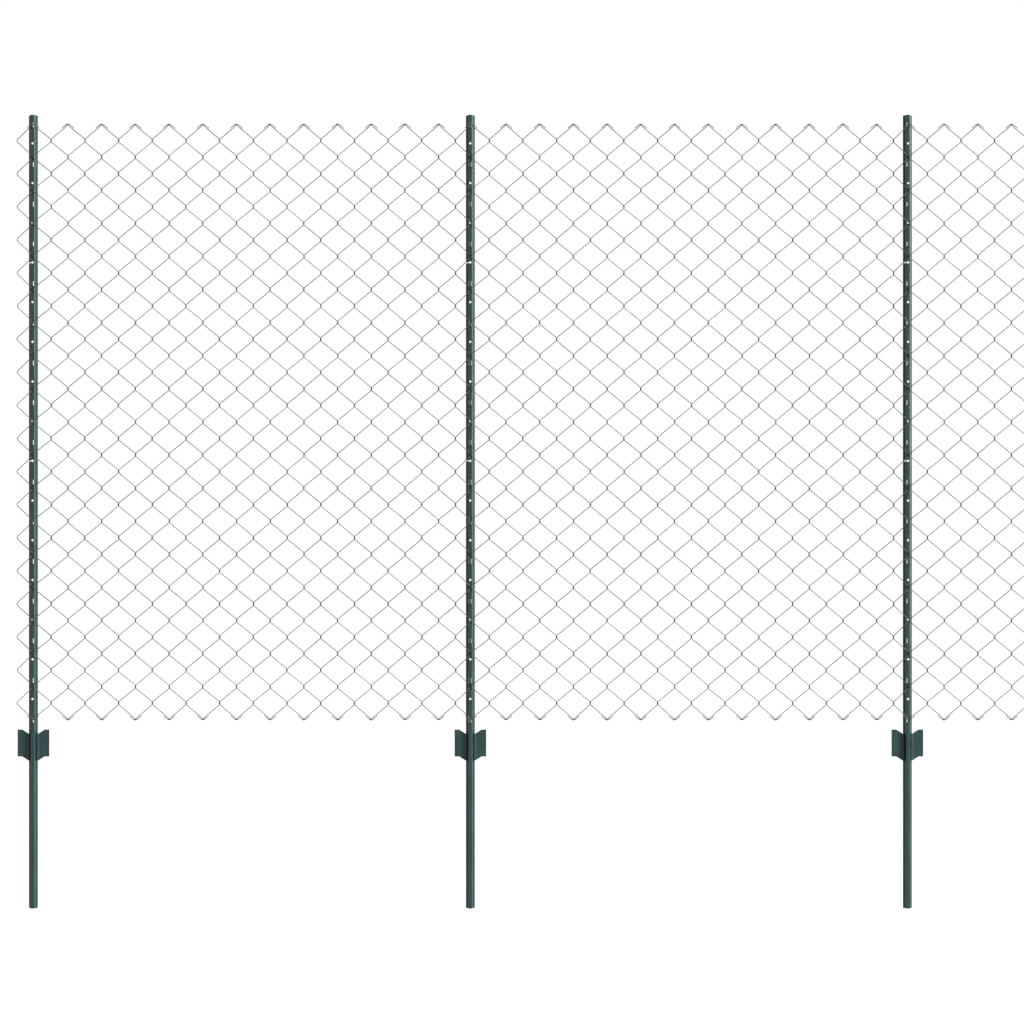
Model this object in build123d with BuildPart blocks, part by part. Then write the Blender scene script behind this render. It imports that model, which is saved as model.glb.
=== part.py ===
from build123d import *
from math import atan2, cos, degrees
import os

# A wire mesh fence: rolled steel posts with punched hooks, each driven into
# the ground with a pair of anchor wings, and woven diamond mesh hung in the hooks.
# All sizes are millimetres. X runs along the fence, the front looks to -Y and Z is up.
# The origin lies in the sheet of the first post, at the middle of its bottom end.

# Fence layout
bay_count = 3
diamonds_per_bay = 13
diamond_width = 84.85
post_height = 2000.0

# Post section: a flat web to the front, two splayed legs and two narrow flanges that lean back
sheet = 1.5
web_width = 10.4
leg_depth = 12.5
flange_gap = 15.2
flange_lean = 1.2
post_width = 22.5
bend_radius = 1.3

# Round holes down the web, and slits that let a line wire into two of them
hole_diameter = 5.5
hole_count = 15
first_hole_drop = 72.0
slit_height = 1.8
slit_holes = (3, 8)

# Hooks punched out of the web, each a little left of the middle of the slot it leaves
hook_pitch = 100.0
hook_count = 16
first_hook_drop = 25.5
hook_width = 5.6
hook_throat = 6.5
hook_tongue = 13.5
hook_bend = 1.2
hook_offset = 0.3
slot_height = 13.0
slot_gap = 0.7

# Woven mesh: straight runs of wire in a front and a back layer, joined where they cross.
# Hooks and rows of diamonds meet again after every group, so the mesh sits alike in each.
wire = 2.0
mesh_rows = 18
rows_per_group = 6
hooks_per_group = 5
mesh_shift = 2.0
knuckle_rise = 3.0
bend_rise = 1.5
seat_play = 0.3

# Anchor wings, pressed plates lapped on the front of the flanges near the ground line
wing_sheet = 2.0
wing_span = 80.0
wing_height = 68.0
wing_top_drop = 1550.0
wing_fall = 10.0
wing_flat = 11.8
wing_lap = 2.3
wing_overhang = 1.3
wing_step = 2.8
wing_set_back = 3.2
wing_crown = 16.0
wing_hollow = 5.0
wing_corner = 1.5

# Places that follow from the sizes above
post_spacing = diamonds_per_bay * diamond_width
post_places = [number * post_spacing for number in range(bay_count + 1)]
web_front = -sheet / 2
flange_front = web_front + leg_depth
flange_slope = flange_lean / (post_width / 2 - flange_gap / 2)
post_depth = leg_depth + flange_lean + 2 * sheet
hook_heights = [post_height - first_hook_drop - number * hook_pitch for number in range(hook_count)]
hole_heights = [post_height - first_hole_drop - number * hook_pitch for number in range(hole_count)]
half_width = diamond_width / 2
half_height = hook_pitch * hooks_per_group / rows_per_group / 2
wire_angle = atan2(half_height, half_width)
wire_slope = half_height / half_width
wire_rise = wire / 2 / cos(wire_angle)
hook_seat = hook_heights[0] - slot_height / 2 + sheet / 2
mesh_top = hook_seat + seat_play + (mesh_shift + hook_offset + hook_width / 2) * wire_slope + wire_rise
mesh_bottom = mesh_top - 2 * mesh_rows * half_height
mesh_middle = web_front - hook_throat + hook_bend + wire

os.makedirs("parts", exist_ok=True)


def finish(part, name):
    """Name a finished piece and write its file."""
    part.label = name
    export_step(part, f"parts/{name}.step")
    print(f"{name}: {len(part.solids())} solid, {part.volume / 1000:.2f} cm3")


def write_copy(part, name, along):
    """Write a copy of a piece, moved along the fence."""
    with BuildPart() as copy:
        with Locations((along, 0, 0)):
            add(part)
    finish(copy.part, name)


# Post, rolled from strip and punched before it is cut to length
with BuildPart() as post:
    with BuildSketch(Plane.XY) as section:
        with BuildLine() as front_face:
            Polyline(
                (-post_width / 2, flange_front + flange_lean),
                (-flange_gap / 2, flange_front),
                (-web_width / 2, web_front),
                (web_width / 2, web_front),
                (flange_gap / 2, flange_front),
                (post_width / 2, flange_front + flange_lean),
            )
            web_bends, flange_bends, flange_edges = front_face.vertices().group_by(Axis.Y)
            fillet(web_bends, bend_radius + sheet)
            fillet(flange_bends, bend_radius)
            offset(amount=sheet, side=Side.LEFT)
        make_face()
    extrude(amount=post_height)
    with BuildSketch(Plane.XZ.offset(-web_front - post_depth / 2)) as web_openings:
        with Locations([(0, height) for height in hole_heights]):
            Circle(hole_diameter / 2)
        with Locations([(0, height) for height in hook_heights]):
            Rectangle(hook_width + 2 * slot_gap, slot_height)
    extrude(amount=post_depth, mode=Mode.SUBTRACT)
    with BuildSketch(Plane.XZ.offset(-web_front - post_depth)) as slits:
        with Locations([(0, hole_heights[number]) for number in slit_holes]):
            Rectangle(post_width / 2, slit_height, align=(Align.MAX, Align.CENTER))
    extrude(amount=post_depth, mode=Mode.SUBTRACT)
    # A hook keeps its root in the web below its slot, reaches forward and turns up in two bends
    with BuildSketch(Plane.YZ.offset(-hook_width / 2 - hook_offset)) as hooks:
        with BuildLine(mode=Mode.PRIVATE) as hook_line:
            Polyline(
                (sheet, 0),
                (hook_bend - hook_throat, 0),
                (-hook_throat, hook_bend),
                (-hook_throat, hook_tongue - sheet),
            )
            offset(amount=sheet, side=Side.LEFT, kind=Kind.INTERSECTION)
        with BuildSketch(mode=Mode.PRIVATE) as hook_side:
            add(hook_line.line)
            make_face()
        roots = [(web_front, height - slot_height / 2 + sheet / 2) for height in hook_heights]
        with Locations(roots):
            add(hook_side.sketch)
    extrude(amount=hook_width)

for number, place in enumerate(post_places, start=1):
    write_copy(post.part, f"post_{number}", place)


# Anchor wing: lapped on the leaning flange, set back past its edge, with a low root and a level tip
wing_top = post_height - wing_top_drop
wing_root = post_width / 2 - wing_lap
wing_shoulder = post_width / 2 + wing_overhang
wing_tip = wing_span / 2
wing_back = flange_front + wing_set_back


def flange_face(place):
    """How far back the front of the right flange lies at a place along the fence."""
    return flange_front + (place - flange_gap / 2) * flange_slope


with BuildPart() as right_wing:
    with BuildSketch(Plane.XY.offset(wing_top - wing_height - wing_fall)) as wing_section:
        with BuildLine() as wing_face:
            Polyline(
                (wing_tip, wing_back),
                (wing_shoulder + wing_step, wing_back),
                (wing_shoulder, flange_face(wing_shoulder)),
                (wing_root, flange_face(wing_root)),
            )
            fillet(wing_face.vertices().sort_by(Axis.X)[1], bend_radius)
            fillet(wing_face.vertices().sort_by(Axis.X)[-2], bend_radius + wing_sheet)
            offset(amount=wing_sheet, side=Side.LEFT)
        make_face()
    extrude(amount=wing_height + wing_fall)
    with BuildSketch(Plane.XZ.offset(-wing_back)) as wing_outline:
        with BuildLine():
            upper = Polyline(
                (wing_root, wing_top - wing_fall),
                (wing_shoulder, wing_top - wing_fall),
                (wing_tip - wing_flat, wing_top),
                (wing_tip, wing_top),
            )
            lower = Polyline(
                (wing_root, wing_top - wing_fall - wing_height),
                (wing_shoulder, wing_top - wing_fall - wing_height),
                (wing_tip - wing_flat, wing_top - wing_height),
                (wing_tip, wing_top - wing_height),
            )
            Line(upper @ 0, lower @ 0)
            Line(upper @ 1, lower @ 1)
        make_face()
        shoulders, crowns, tips = wing_outline.vertices().group_by(Axis.X)[1:]
        fillet(shoulders, wing_hollow)
        fillet(crowns, wing_crown)
        fillet(tips, wing_corner)
    extrude(amount=wing_set_back + 2 * wing_sheet, mode=Mode.INTERSECT)

left_wing = mirror(right_wing.part, about=Plane.YZ)

for number, place in enumerate(post_places, start=1):
    write_copy(left_wing, f"anchor_wing_left_{number}", place)
    write_copy(right_wing.part, f"anchor_wing_right_{number}", place)


def column_place(column):
    """The place along the fence of a column of crossings."""
    return mesh_shift + column * half_width


def run_centres(first, last, sign):
    """Points halfway between two columns on each straight run that rises (1) or falls (-1) there."""
    rows = 2 * mesh_rows
    start = first if sign > 0 else first - rows
    end = last + rows if sign > 0 else last
    middle = (column_place(first) + column_place(last)) / 2
    even_runs = range(start + start % 2, end + 1, 2)
    return [(middle, mesh_top + (middle - column_place(run)) * sign * wire_slope) for run in even_runs]


def woven_mesh(first, last, left_rise=0, right_rise=0):
    """The mesh between two columns: rising runs in the front layer, falling runs touching behind."""
    width = column_place(last) - column_place(first)
    outline = Pos(column_place(first) - left_rise, (mesh_top + mesh_bottom) / 2) * Rectangle(
        width + left_rise + right_rise,
        mesh_top - mesh_bottom + 2 * knuckle_rise,
        align=(Align.MIN, Align.CENTER),
    )
    with BuildPart() as mesh:
        for sign, layer_back in ((1, mesh_middle), (-1, mesh_middle + wire)):
            with BuildSketch(Plane.XZ.offset(-layer_back)):
                with Locations(run_centres(first, last, sign)):
                    Rectangle(width / cos(wire_angle) + 4 * wire, wire, rotation=sign * degrees(wire_angle))
                add(outline, mode=Mode.INTERSECT)
            extrude(amount=wire)
    return mesh.part


# Mesh, in two half bays between each pair of posts, and the end wire of the roll past each end post
half_bay = diamonds_per_bay
last_column = 2 * bay_count * diamonds_per_bay
left_half = woven_mesh(0, half_bay)
right_half = woven_mesh(half_bay, 2 * half_bay)
for bay in range(bay_count):
    write_copy(left_half, f"mesh_bay_{bay + 1}_left", bay * post_spacing)
    write_copy(right_half, f"mesh_bay_{bay + 1}_right", bay * post_spacing)
finish(woven_mesh(-1, 0, left_rise=bend_rise), "mesh_end_left")
finish(woven_mesh(last_column, last_column + 1, right_rise=bend_rise), "mesh_end_right")
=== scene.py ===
# %% [markdown]
# # A wire mesh fence
# Four rolled steel posts carry three bays of woven diamond mesh. The posts and their
# anchor wings come from the CAD model as they are, and get a finish, tack welds and thin
# lips in the slots of their hooks. The mesh comes as straight bars there, so here it is
# woven again from round, bent, hooked-up wire.

import math
import random

import bmesh
import bpy
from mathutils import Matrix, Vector


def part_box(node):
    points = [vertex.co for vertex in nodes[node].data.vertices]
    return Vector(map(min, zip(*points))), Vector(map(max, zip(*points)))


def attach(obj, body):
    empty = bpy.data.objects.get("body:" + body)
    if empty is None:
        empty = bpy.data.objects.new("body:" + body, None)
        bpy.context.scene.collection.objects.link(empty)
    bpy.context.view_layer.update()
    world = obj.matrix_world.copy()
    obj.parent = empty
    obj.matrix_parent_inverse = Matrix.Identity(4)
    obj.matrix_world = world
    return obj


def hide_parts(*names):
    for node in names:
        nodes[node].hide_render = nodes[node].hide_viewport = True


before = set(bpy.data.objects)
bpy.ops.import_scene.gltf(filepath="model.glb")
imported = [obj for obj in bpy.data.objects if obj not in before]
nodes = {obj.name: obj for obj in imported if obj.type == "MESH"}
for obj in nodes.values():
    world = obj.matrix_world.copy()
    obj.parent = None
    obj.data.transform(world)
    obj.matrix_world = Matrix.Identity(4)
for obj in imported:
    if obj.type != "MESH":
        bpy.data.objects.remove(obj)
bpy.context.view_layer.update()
print("nodes:", len(nodes))

# %% [markdown]
# ## The camera
# The fence is seen square on from seven metres with a long lens, so the posts stay upright
# in the picture. The lens follows from how wide a stretch of the fence fills the picture.
# The third bay runs on past the right edge.

# %% Camera
picture_width = 2.5801
camera_distance = 7.0
camera_place = (1.2081, -camera_distance, 0.9992)
scene = bpy.context.scene


def put_in_scene(name, data):
    """An object for a camera, a lamp, a mesh or a curve, linked into the scene."""
    thing = bpy.data.objects.new(name, data)
    scene.collection.objects.link(thing)
    return thing


camera_data = bpy.data.cameras.new("camera")
camera_data.sensor_width = 36.0
camera_data.lens = camera_data.sensor_width * camera_distance / picture_width
camera_data.clip_end = 200.0
camera = put_in_scene("camera", camera_data)
camera.location = camera_place
camera.rotation_euler = (math.radians(90), 0, 0)
bpy.context.scene.camera = camera
bpy.context.scene.view_settings.view_transform = "Standard"
print("lens in mm:", round(camera_data.lens, 1))


# %% [markdown]
# ## Writing a material as arithmetic
# A material is a graph of small nodes. Wiring it by hand takes many lines, so one class
# wraps a node's socket and lets Python's own signs do the wiring: `1 - mask` or
# `noise * 0.2 + 0.4` each add the Math nodes they need. Every other node comes from one
# method, which sets the node's choices first and then its sockets.

# %% Sockets that can be added and multiplied
class Signal:
    """A socket of a node. Plus, minus, times and over make Math nodes."""

    def __init__(self, finish, socket):
        self.finish = finish
        self.socket = socket

    def maths(self, operation, *others):
        """A Math node that takes this socket first and then the others."""
        return self.finish.maths(operation, self, *others)

    def __add__(self, other):
        return self.maths("ADD", other)

    def __sub__(self, other):
        return self.maths("SUBTRACT", other)

    def __mul__(self, other):
        return self.maths("MULTIPLY", other)

    def __truediv__(self, other):
        return self.maths("DIVIDE", other)

    def __rsub__(self, other):
        return self.finish.maths("SUBTRACT", other, self)

    __radd__ = __add__
    __rmul__ = __mul__


class Finish:
    """A node tree being built, for one material or for the world."""

    def __init__(self, owner):
        owner.use_nodes = True
        self.tree = owner.node_tree
        self.tree.nodes.clear()

    def node(self, kind, settings=None, inputs=None, output=0):
        node = self.tree.nodes.new(kind)
        for name, value in (settings or {}).items():
            setattr(node, name, value)
        for name, value in (inputs or {}).items():
            if isinstance(value, Signal):
                self.tree.links.new(value.socket, node.inputs[name])
            else:
                node.inputs[name].default_value = value
        if not node.outputs:
            return node
        return Signal(self, node.outputs[output])

    def maths(self, operation, *terms):
        """A Math node on any mix of sockets and plain numbers."""
        inputs = dict(enumerate(terms))
        return self.node("ShaderNodeMath", {"operation": operation}, inputs)

    def noise(self, place, scale, detail):
        inputs = {"Vector": place, "Scale": scale, "Detail": detail}
        return self.node("ShaderNodeTexNoise", inputs=inputs)

    def stretched(self, place, along_z):
        inputs = {"Vector": place, "Scale": (1.0, 1.0, along_z)}
        return self.node("ShaderNodeMapping", inputs=inputs)

    def ramp(self, value, low, high):
        """Zero below low, one above high and smooth between."""
        settings = {"interpolation_type": "SMOOTHSTEP"}
        inputs = {"Value": value, "From Min": low, "From Max": high}
        return self.node("ShaderNodeMapRange", settings, inputs)

    def blend(self, mask, colour_a, colour_b):
        """Colour a where the mask is zero, colour b where it is one."""
        inputs = {0: mask, 6: colour_a, 7: colour_b}
        return self.node("ShaderNodeMix", {"data_type": "RGBA"}, inputs, output=2)

    def surface(self, shader):
        self.node("ShaderNodeOutputMaterial", inputs={"Surface": shader})


print("signs that make nodes: + - * /")

# %% [markdown]
# ## Light, floor and background
# The picture is a product shot on white, lit mostly from the right. A sun with a wide disc
# stands far round to the right, so the posts shade the wings on their left, and the world
# fills the shadows. Two soft boxes stand to the right as well. They are large and far away,
# so they light all of the fence alike, and their spread is narrowed, as by a grid in front
# of a box. The front box gives soft light alone, and no reflection shows it. The side box
# stands a little behind the fence. Reflections do show it, as the shine on those sides of a
# post that look to the right.
#
# The white background is kept apart from the light: only rays from the camera, off a
# mirror or through glass see the world as plain white. The floor is a dark grey with a glow
# that only those rays see. The two add up to just white, and the grey still takes the
# shadow of the posts. A floor brighter than white would be a fault: a wire is thinner than
# a pixel of the picture, and light from beside it would eat it away.

# %% World, lamps and floor
plain_white = (1.0, 1.0, 1.0, 1.0)
fill_light = 0.52
sun_strength = 1.5
sun_softness = math.radians(16)
sun_direction = Vector((0.85, -0.60, 0.45))
lamp_aim = Vector((1.2, 0.0, 1.2))
soft_boxes = {
    "front_box": {
        "place": (10.6, -7.2, 4.0), "size": (4.5, 7.5), "power": 560.0, "mirrored": False
    },
    "side_box": {
        "place": (15.0, 3.6, 4.4), "size": (9.0, 9.0), "power": 640.0, "mirrored": True
    },
}
box_spread = math.radians(80)
floor_half_size = 40.0
floor_tone = (0.20, 0.20, 0.20, 1.0)
floor_glow = 0.86

world = bpy.data.worlds.new("studio")
scene.world = world
sky = Finish(world)


def seen_directly(finish):
    """One for rays from the camera, off a mirror or through glass, zero for the rest."""
    camera_ray, mirror_ray, glass_ray = (
        finish.node("ShaderNodeLightPath", output=name)
        for name in ("Is Camera Ray", "Is Glossy Ray", "Is Transmission Ray")
    )
    return camera_ray.maths("MAXIMUM", mirror_ray).maths("MAXIMUM", glass_ray)


sky_strength = seen_directly(sky) * (1.0 - fill_light) + fill_light
sky_shader = sky.node(
    "ShaderNodeBackground", inputs={"Color": plain_white, "Strength": sky_strength}
)
sky.node("ShaderNodeOutputWorld", inputs={"Surface": sky_shader})

sun_data = bpy.data.lights.new("sun", "SUN")
sun_data.energy = sun_strength
sun_data.angle = sun_softness
sun = put_in_scene("sun", sun_data)
sun.rotation_euler = sun_direction.to_track_quat("Z", "Y").to_euler()

for name, lamp in soft_boxes.items():
    box_data = bpy.data.lights.new(name, "AREA")
    box_data.shape = "RECTANGLE"
    box_data.size, box_data.size_y = lamp["size"]
    box_data.energy = lamp["power"]
    box_data.spread = box_spread
    soft_box = put_in_scene(name, box_data)
    soft_box.location = lamp["place"]
    soft_box.rotation_euler = (lamp_aim - soft_box.location).to_track_quat("-Z", "Y").to_euler()
    soft_box.visible_camera = False
    soft_box.visible_glossy = lamp["mirrored"]

floor_paint = bpy.data.materials.new("floor")
pale = Finish(floor_paint)
matt = pale.node("ShaderNodeBsdfDiffuse", inputs={"Color": floor_tone})
glow_strength = seen_directly(pale) * floor_glow
glow = pale.node(
    "ShaderNodeEmission", inputs={"Color": plain_white, "Strength": glow_strength}
)
pale.surface(pale.node("ShaderNodeAddShader", inputs={0: matt, 1: glow}))


def mesh_object(name, shape, material):
    """Turn a finished bmesh into an object with one material, and let the bmesh go."""
    mesh = bpy.data.meshes.new(name)
    shape.to_mesh(mesh)
    shape.free()
    mesh.materials.append(material)
    return put_in_scene(name, mesh)


floor_shape = bmesh.new()
bmesh.ops.create_grid(floor_shape, x_segments=1, y_segments=1, size=floor_half_size)
floor = mesh_object("floor", floor_shape, floor_paint)
print("floor faces:", len(floor.data.polygons))

# %% [markdown]
# ## Powder coat
# The posts and wings have a dark green powder coat. Close up it is not flat: the baked
# powder leaves a fine orange peel, the rolls of the mill leave faint lines along the post,
# and the coat is thinner and paler on sharp edges. The Bevel node finds those edges: it
# gives a rounded normal, and where that differs from the true normal there is an edge. The
# Ambient Occlusion node finds the opposite, the corners that little light gets into. They
# get a painted shade, near black, and a rougher, thinner clear coat.

# %% Green powder coat
green_dark = (0.0105, 0.030, 0.0295, 1.0)
green_light = (0.0170, 0.043, 0.0420, 1.0)
green_edge = (0.050, 0.100, 0.094, 1.0)
green_painted_shade = (0.002, 0.009, 0.009, 1.0)
peel_height = 0.0001
edge_radius = 0.0007
corner_reach = 0.008

powder_coat = bpy.data.materials.new("green_powder_coat")
coat = Finish(powder_coat)
place = coat.node("ShaderNodeTexCoord", output="Object")
clouds = coat.noise(place, scale=14.0, detail=3.0)
mill_lines = coat.noise(coat.stretched(place, along_z=0.015), scale=650.0, detail=3.0)
peel = coat.noise(place, scale=900.0, detail=1.0)
scuff_noise = coat.noise(coat.stretched(place, along_z=0.12), scale=170.0, detail=4.0)
scuffs = coat.ramp(scuff_noise, low=0.66, high=0.74)

rounded = coat.node("ShaderNodeBevel", {"samples": 4}, {"Radius": edge_radius})
true_normal = coat.node("ShaderNodeNewGeometry", output="Normal")
same_way = coat.node(
    "ShaderNodeVectorMath",
    {"operation": "DOT_PRODUCT"},
    {0: rounded, 1: true_normal},
    output="Value",
)
edges = coat.ramp(1.0 - same_way, low=0.02, high=0.25)
openness = coat.node(
    "ShaderNodeAmbientOcclusion", {"samples": 8}, {"Distance": corner_reach}, output="AO"
)
shaded_corners = 1.0 - coat.ramp(openness, low=0.15, high=0.80)

tone = clouds * 0.55 + mill_lines * 0.45
colour = coat.blend(coat.ramp(tone, low=0.35, high=0.65), green_dark, green_light)
colour = coat.blend(edges * 0.5 + scuffs * 0.2, colour, green_edge)
# Painted shade: the corners that the Ambient Occlusion node finds are darkened to a near black
# green.
colour = coat.blend(shaded_corners * 0.75, colour, green_painted_shade)
bumps = coat.node(
    "ShaderNodeBump",
    inputs={
        "Strength": 0.35, "Distance": peel_height, "Height": peel * 0.7 + mill_lines * 0.3
    },
)
coat.surface(
    coat.node(
        "ShaderNodeBsdfPrincipled",
        inputs={
            "Base Color": colour,
            "Roughness": 0.26 + clouds * 0.12 + scuffs * 0.15 + shaded_corners * 0.2,
            "Specular IOR Level": 0.15,
            "Coat Weight": 0.6 - shaded_corners * 0.5,
            "Coat Roughness": 0.16,
            "Coat IOR": 1.30,
            "Normal": bumps,
        },
    )
)

coated = [node for name, node in nodes.items() if name.startswith(("post", "anchor_wing"))]
for node in coated:
    for material_slot in node.material_slots:
        material_slot.material = powder_coat
print("nodes in powder coat:", len(coated))

# %% [markdown]
# ## Zinc
# The wire is drawn steel dipped in zinc. New zinc is a soft grey metal with small patches
# of lighter and darker crystals. It is rougher where wires hook together, because zinc
# gathers there and air and dust stay in the gap. It is also darker there, partly from that
# dirt and partly as painted shade, where the wires shade each other. The crossings repeat
# along two slanted directions, so a little arithmetic on the place finds the nearest one.
# That needs the sizes of the weave, so they come first.

# %% Sizes of the weave
half_width = 0.042425
half_height = 0.125 / 3
bay_count = 3
diamonds_per_bay = 13
row_count = 36
wire_radius = 0.00100

first_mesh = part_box("mesh_bay_1_left")
knuckle_rise = 0.003
left_column = first_mesh[0].x
cad_top = first_mesh[1].z - knuckle_rise
weave_depth = (first_mesh[0].y + first_mesh[1].y) / 2
hook_lift = 0.0004
weave_top = cad_top + hook_lift
print("first column at", round(left_column, 5), "top row at", round(weave_top, 5))

# %% Zinc on the wire
zinc_dark = (0.078, 0.077, 0.079, 1.0)
zinc_light = (0.175, 0.173, 0.177, 1.0)
zinc_shade_and_dirt = (0.018, 0.018, 0.019, 1.0)
zinc_glance = (0.30, 0.30, 0.31, 1.0)
grain_height = 0.00005

zinc = bpy.data.materials.new("galvanised_zinc")
metal = Finish(zinc)
place = metal.node("ShaderNodeTexCoord", output="Object")
along, up = (
    metal.node("ShaderNodeSeparateXYZ", inputs={"Vector": place}, output=axis)
    for axis in "XZ"
)
columns = (along - left_column) / (2 * half_width)
rows = (weave_top - up) / (2 * half_height)
falling = columns - rows
rising = columns + rows


def from_whole(value):
    """How far a value is from the nearest whole number."""
    return (value - value.maths("ROUND")).maths("ABSOLUTE")


from_crossing = from_whole(falling).maths("MAXIMUM", from_whole(rising))
crossing_shade_and_dirt = 1.0 - metal.ramp(from_crossing, low=0.040, high=0.090)
crystals = metal.node(
    "ShaderNodeTexVoronoi",
    inputs={"Vector": metal.stretched(place, along_z=0.6), "Scale": 420.0},
    output="Color",
)
crystal_tone = metal.node("ShaderNodeSeparateColor", inputs={"Color": crystals})
weather = metal.noise(place, scale=30.0, detail=3.0)
grain = metal.noise(place, scale=2600.0, detail=2.0)

tone = crystal_tone * 0.45 + weather * 0.4 + grain * 0.15
colour = metal.blend(metal.ramp(tone, low=0.25, high=0.75), zinc_dark, zinc_light)
# Painted shade with some dirt: the crossings, where the wires shade each other, are darkened.
colour = metal.blend(crossing_shade_and_dirt * 0.85, colour, zinc_shade_and_dirt)
bumps = metal.node(
    "ShaderNodeBump", inputs={"Strength": 0.3, "Distance": grain_height, "Height": grain}
)
metal.surface(
    metal.node(
        "ShaderNodeBsdfPrincipled",
        inputs={
            "Base Color": colour,
            "Metallic": 0.9 - crossing_shade_and_dirt * 0.5,
            "Roughness": 0.42 + crystal_tone * 0.12 + crossing_shade_and_dirt * 0.2,
            "Specular IOR Level": 0.3,
            "Specular Tint": zinc_glance,
            "Normal": bumps,
        },
    )
)
print("zinc nodes:", len(metal.tree.nodes))

# %% [markdown]
# ## The woven wires
# Each wire of a diamond mesh is wound flat, like a squashed spring, and screwed into its
# neighbour. Seen from the front it zigzags down between two columns. Every rising run lies
# in the front layer and every falling run in the back layer, and at each bend the wire
# turns from one layer to the other round its neighbour's bend.
#
# A curve with a round bevel is the natural tool for a wire: its points are the middle of
# the wire, and Blender makes the tube. Six sides are enough for a wire two millimetres
# thick that is bent some three thousand times.
#
# No real weave is quite even. Handling moves each crossing a little. Between the posts the
# mesh bows forwards and back in long waves, and hangs a little to the right. The columns of
# crossings at the posts are held, so they have no such drift, and they are lifted a little
# towards the tops of the hooks.

# %% Small irregularities of a real weave
weave_random = random.Random(18)
columns_per_bay = 2 * diamonds_per_bay
column_count = bay_count * columns_per_bay
shake = 0.0004
pull = 0.0034
seat_lift = 0.00045
wave_depth = 0.0012
wave_along_bay = 5
wave_down_row = 0.21
drift = {}


def at_post(column):
    """Whether a column of crossings hangs in the hooks of a post."""
    return column % columns_per_bay == 0


for column in range(-1, column_count + 2):
    hangs_free = not at_post(column)
    size = shake if hangs_free else 0.0
    aside = pull if hangs_free and column < column_count else 0.0
    lift = 0.0 if hangs_free else seat_lift
    for row in range(row_count + 1):
        sideways = aside + weave_random.uniform(-size, size)
        drift[column, row] = Vector((sideways, 0.0, lift + weave_random.uniform(-size, size)))


def crossing(column, row):
    """The middle of a crossing, with its drift and the long waves of the mesh."""
    bay_share = column / columns_per_bay
    wave = math.sin(bay_share * wave_along_bay + row * wave_down_row)
    swell = math.sin(math.pi * bay_share) ** 2 * wave
    middle = Vector((
        left_column + column * half_width,
        weave_depth + wave_depth * swell,
        weave_top - row * half_height,
    ))
    return middle + drift[column, row]


print("crossings:", len(drift) // 2)

# %% [markdown]
# A bend is a half turn of the squashed spring round the middle of the crossing. It starts
# in one layer above the crossing, is furthest out at the crossing itself, and ends in the
# other layer below it. Where the mesh hangs in a hook it is pulled tight, so the bends at
# the posts are shorter than the open ones between them.

# %% One bend
open_bend = 0.0034
hooked_bend = 0.0017
bend_reach = 0.00102
layer_depth = 0.00104
quarter_turn = 90
bend_turns = (90, 45, 0, -45, -90)


def bend(column, row, side):
    """Points down one bend. Side is 1 where the bend points right and -1 where left."""
    middle = crossing(column, row)
    half_tall = hooked_bend if at_post(column) else open_bend
    points = []
    for turn in bend_turns:
        angle = math.radians(turn)
        points.append(middle + Vector((
            side * bend_reach * math.cos(angle),
            side * layer_depth * math.sin(angle),
            half_tall * turn / quarter_turn,
        )))
    return points


print("points in a bend:", len(bend(0, 0, 1)))

# %% [markdown]
# ## Knuckles
# Along the top and the bottom edge the wires end in pairs. Each end bows up to the edge,
# twists over its partner and lies back along the partner's wire for some fourteen
# millimetres. Its tip turns in a little. The points are listed, from the last run
# over the crossing to the tip.

# %% One knuckle
knuckle_line = (
    (-0.0085, -0.0010, -0.0096),
    (-0.0032, -0.0010, -0.0047),
    (-0.0013, -0.0010, -0.0024),
    (-0.0009, -0.0010, -0.0008),
    (0.0004, -0.0010, 0.0001),
    (0.0022, -0.0004, 0.0001),
    (0.0038, 0.0006, -0.0009),
    (0.0054, 0.0010, -0.0022),
    (0.0090, 0.0010, -0.0049),
    (0.0122, 0.0010, -0.0075),
    (0.0138, 0.0009, -0.0094),
    (0.0143, 0.0008, -0.0106),
)


def knuckle(column, row, side, over):
    """Points from the last run out to the tip. Over is 1 at the top edge, -1 at the bottom."""
    middle = crossing(column, row)
    return [
        middle + Vector((side * x, side * over * y, over * z))
        for x, y, z in knuckle_line
    ]


# %% One whole wire
def woven_wire(column):
    """The middle line of the wire that zigzags between a column and the next one."""
    top_column = column if column % 2 == 0 else column + 1
    side = 1 if top_column > column else -1
    points = knuckle(top_column, 0, side, 1)[::-1]
    for row in range(1, row_count):
        points_right = (column + row) % 2 == 1
        bend_column = column + 1 if points_right else column
        points += bend(bend_column, row, 1 if points_right else -1)
    return points + knuckle(top_column, row_count, side, -1)


print("points in a wire:", len(woven_wire(0)))

# %% Mesh pieces, one for each stretch of the CAD mesh
merge_distance = 1e-6


def wire_piece(name, columns):
    """A stretch of mesh as one object: curves first, then closed tubes."""
    curve = bpy.data.curves.new(name, "CURVE")
    curve.dimensions = "3D"
    curve.bevel_depth = wire_radius
    curve.bevel_resolution = 1
    curve.use_fill_caps = True
    for column in columns:
        points = woven_wire(column)
        spline = curve.splines.new("POLY")
        spline.points.add(len(points) - 1)
        for spline_point, point in zip(spline.points, points):
            spline_point.co = (*point, 1.0)
    drawn = put_in_scene(name + "_curve", curve)
    bpy.context.view_layer.update()
    tubes = bpy.data.meshes.new_from_object(drawn)
    bpy.data.objects.remove(drawn)
    shape = bmesh.new()
    shape.from_mesh(tubes)
    bpy.data.meshes.remove(tubes)
    bmesh.ops.remove_doubles(shape, verts=shape.verts, dist=merge_distance)
    bmesh.ops.recalc_face_normals(shape, faces=shape.faces)
    piece = mesh_object(name, shape, zinc)
    piece.data.shade_smooth()
    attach(piece, "root")
    return piece


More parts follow.
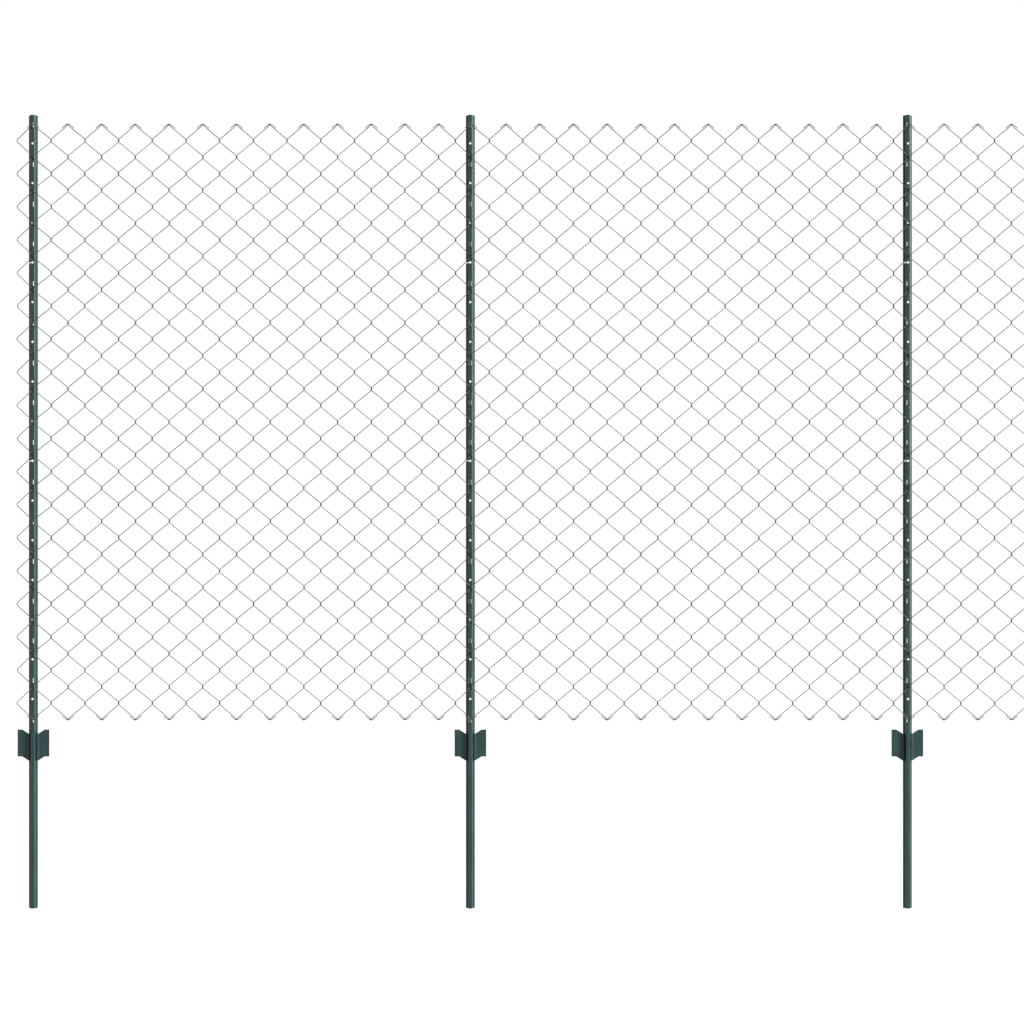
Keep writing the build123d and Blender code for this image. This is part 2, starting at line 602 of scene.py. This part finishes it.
stretches = {"end_left": range(-1, 0), "end_right": range(column_count, column_count + 1)}
for bay in range(bay_count):
    for half, side in enumerate(("left", "right")):
        start = (2 * bay + half) * diamonds_per_bay
        stretches[f"bay_{bay + 1}_{side}"] = range(start, start + diamonds_per_bay)

for name, columns in stretches.items():
    piece = wire_piece("woven_" + name, columns)
    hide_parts("mesh_" + name)
    print(piece.name, "faces:", len(piece.data.polygons))

# %% [markdown]
# ## Tack welds
# Each anchor wing is lapped on a flange of its post, and a short tack weld at the top and
# at the bottom of the lap holds it. A tack is a small uneven mound, so it starts as a
# coarse ball that is flattened, and its points are pushed about a little. It sits where the
# back of the wing's plate meets the flange. A wing falls from its tip to its lap, so the
# upper tack lies lower than the wing's highest corner.

# %% Tack welds on the wings
weld_random = random.Random(7)
weld_size = Vector((0.0017, 0.0011, 0.0030))
weld_inset = 0.0035
weld_swell = (0.93, 1.05)
wing_sheet = 0.0020
upper_weld_drop = 0.011
post_count = bay_count + 1


def tack(shape, middle):
    """One flattened ball with an uneven surface, centred on a point."""
    ball = bmesh.ops.create_icosphere(shape, subdivisions=2, radius=1.0)["verts"]
    for vertex in ball:
        vertex.co *= weld_random.uniform(*weld_swell)
    bmesh.ops.scale(shape, vec=weld_size, verts=ball)
    bmesh.ops.translate(shape, vec=middle, verts=ball)


for number in range(1, post_count + 1):
    shape = bmesh.new()
    for side in ("left", "right"):
        low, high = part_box(f"anchor_wing_{side}_{number}")
        lap = high.x if side == "left" else low.x
        for height in (low.z + weld_inset, high.z - upper_weld_drop - weld_inset):
            tack(shape, Vector((lap, low.y + wing_sheet, height)))
    welds = mesh_object(f"tack_welds_{number}", shape, powder_coat)
    welds.data.shade_smooth()
    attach(welds, "root")
print("faces of the tacks on a post:", len(welds.data.polygons))

# %% [markdown]
# ## Lips of the hook slots
# Each hook is cut out of the web on three sides and bent forward, so from the front there
# is a gap above it and beside it. On the real posts these gaps are narrower than the slots
# of the CAD model. A thin lip along the top of each slot and one down its right side narrow
# them. A lip is a small block with rounded edges that is sunk a little into the edge of its
# slot. It is thinner than the web, so that no two faces lie in one plane.

# %% Slot lips on the posts
slot_half_width = 0.0035
slot_height = 0.013
slot_top_drop = 0.019
slot_pitch = 0.1
slot_count = 16
top_lip = 0.0008
side_lip = 0.0004
top_lip_half_sheet = 0.00065
side_lip_half_sheet = 0.00055
lip_sink = 0.0001
lip_round = 0.00015


def lip(shape, low, high):
    """One block with rounded edges, from its lowest to its highest corner."""
    block = bmesh.ops.create_cube(shape, size=1.0)["verts"]
    bmesh.ops.scale(shape, vec=high - low, verts=block)
    bmesh.ops.translate(shape, vec=(low + high) / 2, verts=block)
    edges = list({edge for vertex in block for edge in vertex.link_edges})
    bmesh.ops.bevel(
        shape, geom=edges, offset=lip_round, segments=2, profile=0.5, affect="EDGES", material=-1
    )


for number in range(1, post_count + 1):
    low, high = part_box(f"post_{number}")
    middle = (low.x + high.x) / 2
    left_edge = middle - slot_half_width
    right_edge = middle + slot_half_width
    shape = bmesh.new()
    for slot in range(slot_count):
        top = high.z - slot_top_drop - slot * slot_pitch
        lip(
            shape,
            Vector((left_edge - lip_sink, -top_lip_half_sheet, top - top_lip)),
            Vector((right_edge + lip_sink, top_lip_half_sheet, top + lip_sink)),
        )
        lip(
            shape,
            Vector((right_edge - side_lip, -side_lip_half_sheet, top - slot_height - lip_sink)),
            Vector((right_edge + lip_sink, side_lip_half_sheet, top - lip_sink)),
        )
    lips = mesh_object(f"slot_lips_{number}", shape, powder_coat)
    lips.data.shade_smooth()
    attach(lips, "root")
print("faces of the lips on a post:", len(lips.data.polygons))
